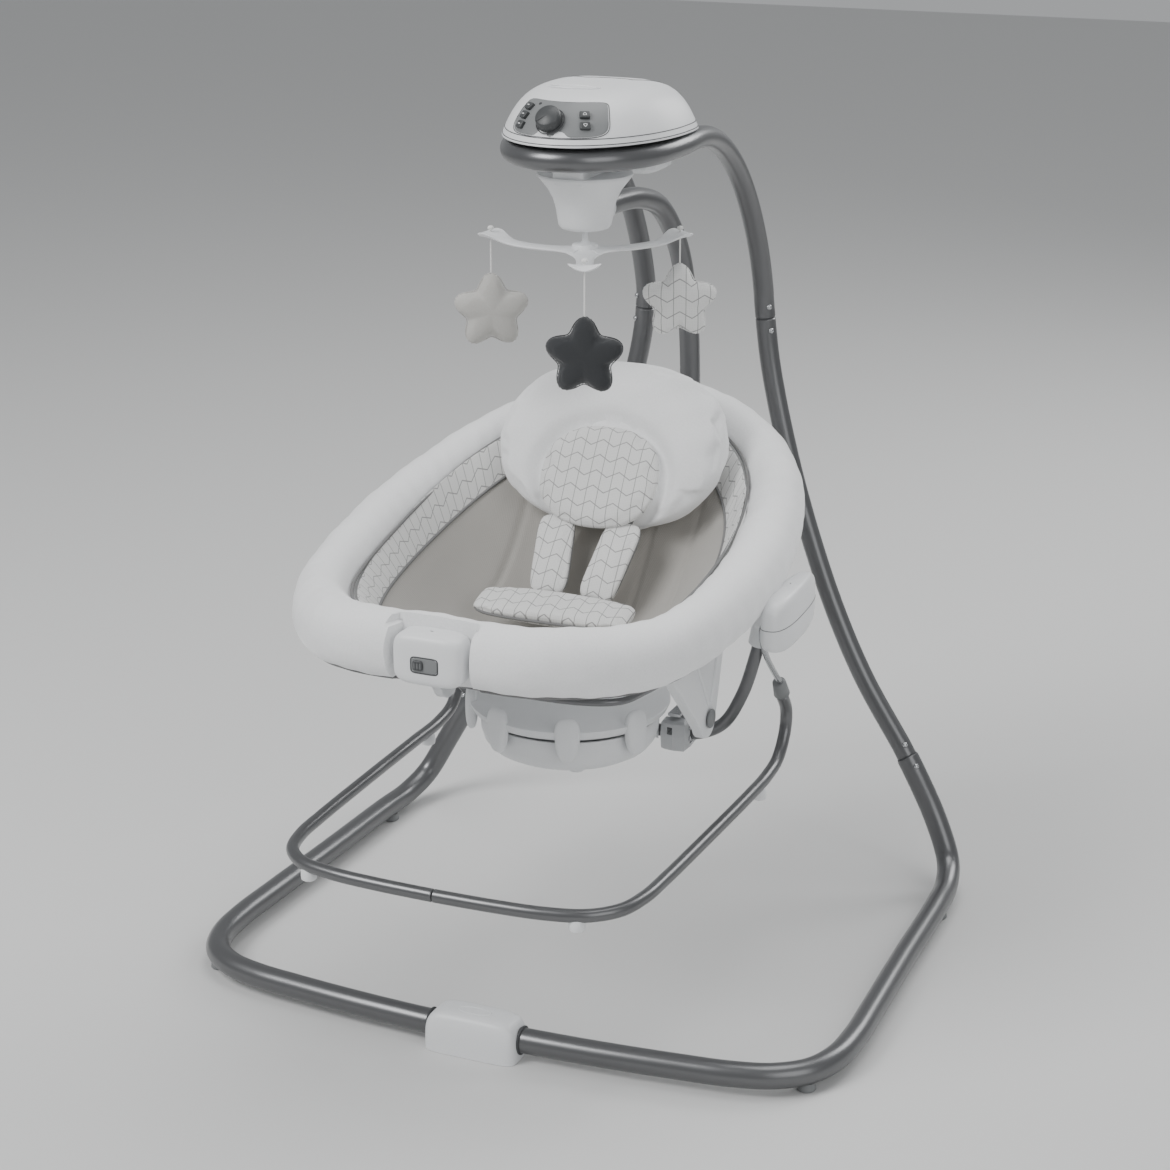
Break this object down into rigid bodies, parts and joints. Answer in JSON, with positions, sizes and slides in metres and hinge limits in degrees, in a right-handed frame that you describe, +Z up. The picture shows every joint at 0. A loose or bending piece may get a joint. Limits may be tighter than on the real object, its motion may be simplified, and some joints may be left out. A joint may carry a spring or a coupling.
{
  "type": "baby swing",
  "caption": "Free-standing baby swing: bent tube frame, motor head, hanger arm with a dish, lift-off padded bouncer seat on its own stand, and a turning mobile with plush stars",
  "frame": {"origin": "on the floor, under the middle of the whole swing", "axes": "+Z up, the seat faces -Y, +X to the right when looking along +Y at the front of the swing"},
  "size_m": [0.7166, 0.7171, 0.9074],
  "materials": {
    "grey_paint": "satin grey metallic paint",
    "white_plastic": "fine satin moulding",
    "panel_grey": "satin mid grey",
    "dark_plastic": "satin dark grey",
    "bright_steel": "plain bright steel",
    "plush": "short white plush",
    "liner_cloth": "smooth grey-beige knit",
    "print_cloth": "white knit with fine grey chevrons",
    "charcoal_plush": "short charcoal plush",
    "board": "green circuit board",
    "cells": "blue wrapped cells",
    "string": "white cord"
  },
  "bodies": {
    "stand": {"base_tube_right": "grey_paint", "leg_tube_right": "grey_paint", "base_tube_left": "grey_paint", "leg_tube_left": "grey_paint", "head_loop_tube": "grey_paint", "foot_cover": "white_plastic", "frame_foot_front_right": "dark_plastic", "frame_foot_rear_right": "dark_plastic", "frame_foot_front_left": "dark_plastic", "frame_foot_rear_left": "dark_plastic", "head_top_cover": "white_plastic", "head_lower_cover": "white_plastic", "control_panel": "panel_grey", "drive_motor": "bright_steel", "circuit_board": "board", "battery_pack": "cells", "pivot_axle": "bright_steel"},
    "dial": {"speed_dial": "dark_plastic"},
    "mode_button_top_body": {"mode_button_top": "dark_plastic"},
    "mode_button_middle_body": {"mode_button_middle": "dark_plastic"},
    "mode_button_bottom_body": {"mode_button_bottom": "dark_plastic"},
    "volume_up_button_body": {"volume_up_button": "dark_plastic"},
    "volume_down_button_body": {"volume_down_button": "dark_plastic"},
    "battery_lid": {"battery_door": "white_plastic"},
    "swing": {"hanger_hub": "white_plastic", "swing_arm_upper": "grey_paint", "swing_arm_lower": "grey_paint", "seat_dish": "white_plastic", "latch_bracket": "panel_grey"},
    "latch": {"latch_lever": "bright_steel"},
    "mobile": {"mobile_spider": "white_plastic"},
    "toy_front": {"star_front": "charcoal_plush", "star_string_front": "string"},
    "toy_right": {"star_right": "print_cloth", "star_string_right": "string"},
    "toy_left": {"star_left": "liner_cloth", "star_string_left": "string"},
    "bouncer": {"hanger_hoop": "grey_paint", "spring_rod_right": "bright_steel", "spring_rod_left": "bright_steel", "carry_handle_right": "white_plastic", "carry_handle_left": "white_plastic", "under_pan": "white_plastic"},
    "bouncer_stand": {"stand_tube_right": "grey_paint", "stand_foot_front_right": "white_plastic", "stand_foot_rear_right": "white_plastic", "stand_tube_left": "grey_paint", "stand_foot_front_left": "white_plastic", "stand_foot_rear_left": "white_plastic"},
    "seat": {"seat_shell": "white_plastic", "seat_liner": "liner_cloth", "seat_rim": "plush", "rim_wire": "grey_paint", "head_pillow": "plush", "shoulder_pad_left": "print_cloth", "shoulder_pad_right": "print_cloth", "waist_pad": "print_cloth", "vibration_unit": "white_plastic"},
    "vibration_slider": {"vibration_switch": "dark_plastic"}
  },
  "joints": [
    {"name": "dial_turn", "type": "hinge", "parent": "stand", "child": "dial", "pos_m": [-0.00324, -0.06594, 0.88317], "axis": [-0.0442, -0.7397, 0.6714], "range_deg": [-135, 135]},
    {"name": "mode_button_top_press", "type": "slide", "parent": "stand", "child": "mode_button_top_body", "axis": [0.3889, 0.5123, -0.7657], "range_m": [0, 0.001], "stiffness_N_per_m": 300, "springref_m": -0.0008},
    {"name": "mode_button_middle_press", "type": "slide", "parent": "stand", "child": "mode_button_middle_body", "axis": [0.4522, 0.6031, -0.6572], "range_m": [0, 0.001], "stiffness_N_per_m": 300, "springref_m": -0.0008},
    {"name": "mode_button_bottom_press", "type": "slide", "parent": "stand", "child": "mode_button_bottom_body", "axis": [0.484, 0.6705, -0.5623], "range_m": [0, 0.001], "stiffness_N_per_m": 300, "springref_m": -0.0008},
    {"name": "volume_up_button_press", "type": "slide", "parent": "stand", "child": "volume_up_button_body", "axis": [-0.3315, 0.6078, -0.7216], "range_m": [0, 0.001], "stiffness_N_per_m": 300, "springref_m": -0.0008},
    {"name": "volume_down_button_press", "type": "slide", "parent": "stand", "child": "volume_down_button_body", "axis": [-0.4004, 0.6908, -0.6021], "range_m": [0, 0.001], "stiffness_N_per_m": 300, "springref_m": -0.0008},
    {"name": "battery_lid_hinge", "type": "hinge", "parent": "stand", "child": "battery_lid", "pos_m": [0, 0.067, 0.9079], "axis": [1, 0, 0], "range_deg": [0, 70]},
    {"name": "swing_sway", "type": "hinge", "parent": "stand", "child": "swing", "pos_m": [0, 0.009, 0.849], "axis": [0, 1, 0], "range_deg": [-15, 15]},
    {"name": "latch_release", "type": "hinge", "parent": "swing", "child": "latch", "pos_m": [0.101, 0.008, 0.271], "axis": [0, 0, 1], "range_deg": [-38, 0], "stiffness_Nm_per_rad": 0.05, "springref_deg": 2.86},
    {"name": "mobile_turn", "type": "hinge", "parent": "swing", "child": "mobile", "pos_m": [0, 0.009, 0.76], "axis": [0, 0, 1], "continuous": true},
    {"name": "toy_front_swing", "type": "hinge", "parent": "mobile", "child": "toy_front", "pos_m": [0.04292, -0.09228, 0.753], "axis": [1, 0, 0], "range_deg": [-20, 20]},
    {"name": "toy_right_swing", "type": "hinge", "parent": "mobile", "child": "toy_right", "pos_m": [0.06625, 0.09681, 0.753], "axis": [1, 0, 0], "range_deg": [-20, 20]},
    {"name": "toy_left_swing", "type": "hinge", "parent": "mobile", "child": "toy_left", "pos_m": [-0.10917, 0.02247, 0.753], "axis": [1, 0, 0], "range_deg": [-20, 20]},
    {"name": "bouncer_lift", "type": "slide", "parent": "swing", "child": "bouncer", "axis": [0, 0, 1], "range_m": [0, 0.015]},
    {"name": "bouncer_bounce", "type": "hinge", "parent": "bouncer", "child": "bouncer_stand", "pos_m": [0, 0.086, 0.281], "axis": [1, 0, 0], "range_deg": [-3, 3], "stiffness_Nm_per_rad": 250, "springref_deg": -0.43},
    {"name": "seat_recline", "type": "hinge", "parent": "bouncer", "child": "seat", "pos_m": [0, -0.025, 0.288], "axis": [1, 0, 0], "range_deg": [-8, 0]},
    {"name": "vibration_slide", "type": "slide", "parent": "seat", "child": "vibration_slider", "axis": [1, 0, 0], "range_m": [0, 0.012]}
  ]
}
